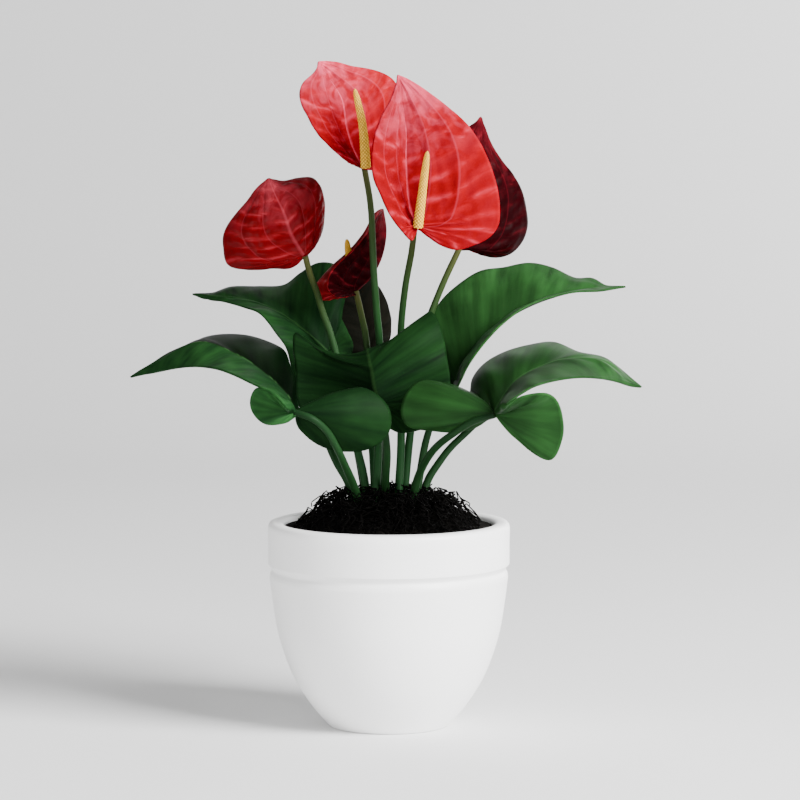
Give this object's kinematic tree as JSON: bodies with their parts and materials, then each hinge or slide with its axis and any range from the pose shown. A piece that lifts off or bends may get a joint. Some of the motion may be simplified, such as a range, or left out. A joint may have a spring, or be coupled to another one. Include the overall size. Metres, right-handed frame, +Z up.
{
  "type": "potted anthurium",
  "caption": "Potted anthurium with heart-shaped leaves and red spathes on bare stalks in a tapered white pot of dark soil.",
  "frame": {"origin": "centre of the pot's flat base", "axes": "+Z up, the viewer of the reference view on the -Y side, +X to that viewer's right"},
  "size_m": [0.3348, 0.2728, 0.439],
  "materials": {
    "pot": "satin white glaze",
    "soil": "dark, rough and fibrous",
    "leaf": "satin, leathery green",
    "stalk": "satin green",
    "spathe": "waxy, glossy red",
    "spadix": "matte cream, finely pebbled"
  },
  "bodies": {
    "root": {"pot": "pot", "soil": "soil", "leaf_low_left": "leaf", "leaf_low_right": "leaf", "leaf_middle": "leaf", "leaf_upper_left": "leaf", "leaf_upper_right": "leaf", "leaf_rear": "leaf", "leaf_rear_left": "leaf", "leaf_rear_right": "leaf", "bloom_top_left_stalk": "stalk", "bloom_top_left_spathe": "spathe", "bloom_top_left_spadix": "spadix", "bloom_top_middle_stalk": "stalk", "bloom_top_middle_spathe": "spathe", "bloom_top_middle_spadix": "spadix", "bloom_top_right_stalk": "stalk", "bloom_top_right_spathe": "spathe", "bloom_top_right_spadix": "spadix", "bloom_left_stalk": "stalk", "bloom_left_spathe": "spathe", "bloom_left_spadix": "spadix", "bloom_low_stalk": "stalk", "bloom_low_spathe": "spathe", "bloom_low_spadix": "spadix"}
  },
  "joints": []
}
